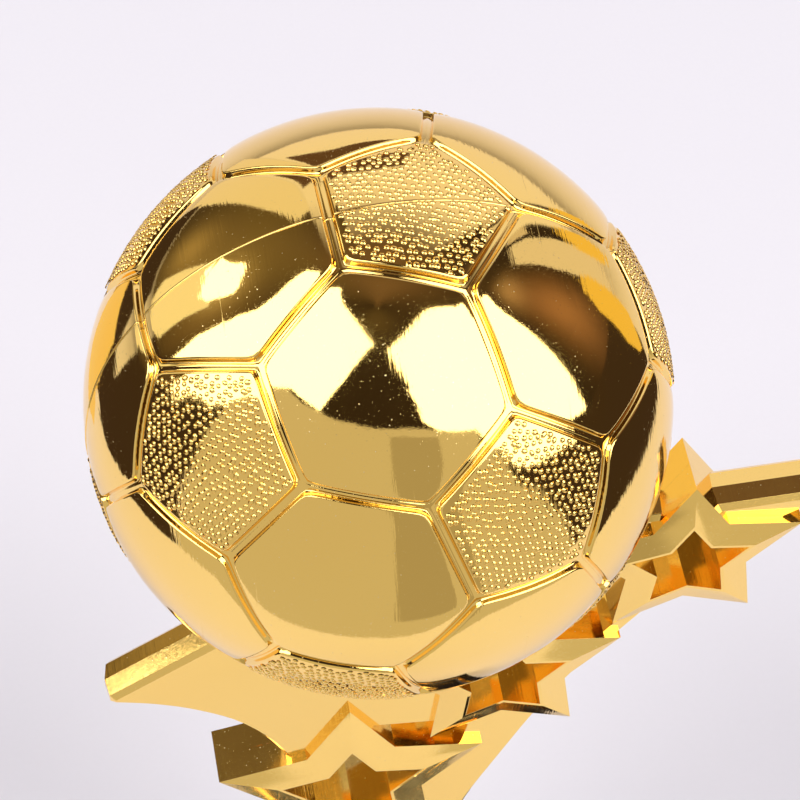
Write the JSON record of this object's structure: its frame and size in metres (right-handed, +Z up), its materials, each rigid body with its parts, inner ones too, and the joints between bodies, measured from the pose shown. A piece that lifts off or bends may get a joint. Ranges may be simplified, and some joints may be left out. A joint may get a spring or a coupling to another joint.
{
  "type": "football trophy",
  "caption": "Plated trophy: a panelled football on an openwork swoosh of hollow stars and pointed blades, on a collared column and square base with a blank plate.",
  "frame": {"origin": "centre of the underside of the base pad, on the surface that the trophy stands on", "axes": "+Z up; the figure's mid-plane is XZ, its front faces -Y and the long blade points to +X"},
  "size_m": [0.1402, 0.1, 0.328],
  "materials": {
    "gold_plating": "moulded ABS with bright gold electroplating, mirror gloss",
    "nameplate_sheet": "gold anodised sheet, satin brushed, blank",
    "black_plastic": "piano black moulded plastic",
    "cover_plastic": "fine matte mould texture",
    "felt": "short pile felt",
    "adhesive_foam": "double-sided foam tape",
    "natural_plastic": "unplated ABS",
    "steel": "zinc-plated steel",
    "insert_brass": "turned brass",
    "weight_mortar": "cast filler block, rough"
  },
  "bodies": {
    "root": {"ball_back_shell": "gold_plating", "ball_front_shell": "gold_plating", "ball_socket": "natural_plastic", "base_pad": "felt", "base_shell": "black_plastic", "base_step": "black_plastic", "base_trim": "gold_plating", "bottom_cover": "cover_plastic", "column": "black_plastic", "cover_screw_1": "steel", "cover_screw_2": "steel", "cover_screw_3": "steel", "cover_screw_4": "steel", "figure_back_shell": "gold_plating", "figure_dowel_1": "natural_plastic", "figure_dowel_2": "natural_plastic", "figure_dowel_3": "natural_plastic", "figure_dowel_4": "natural_plastic", "figure_dowel_5": "natural_plastic", "figure_front_shell": "gold_plating", "lower_collar": "gold_plating", "nameplate": "nameplate_sheet", "nameplate_pad": "adhesive_foam", "neck_pin": "steel", "stem_insert": "insert_brass", "tie_bolt": "steel", "tie_nut": "steel", "tie_washer": "steel", "upper_collar": "gold_plating", "weight_block": "weight_mortar"}
  },
  "joints": []
}
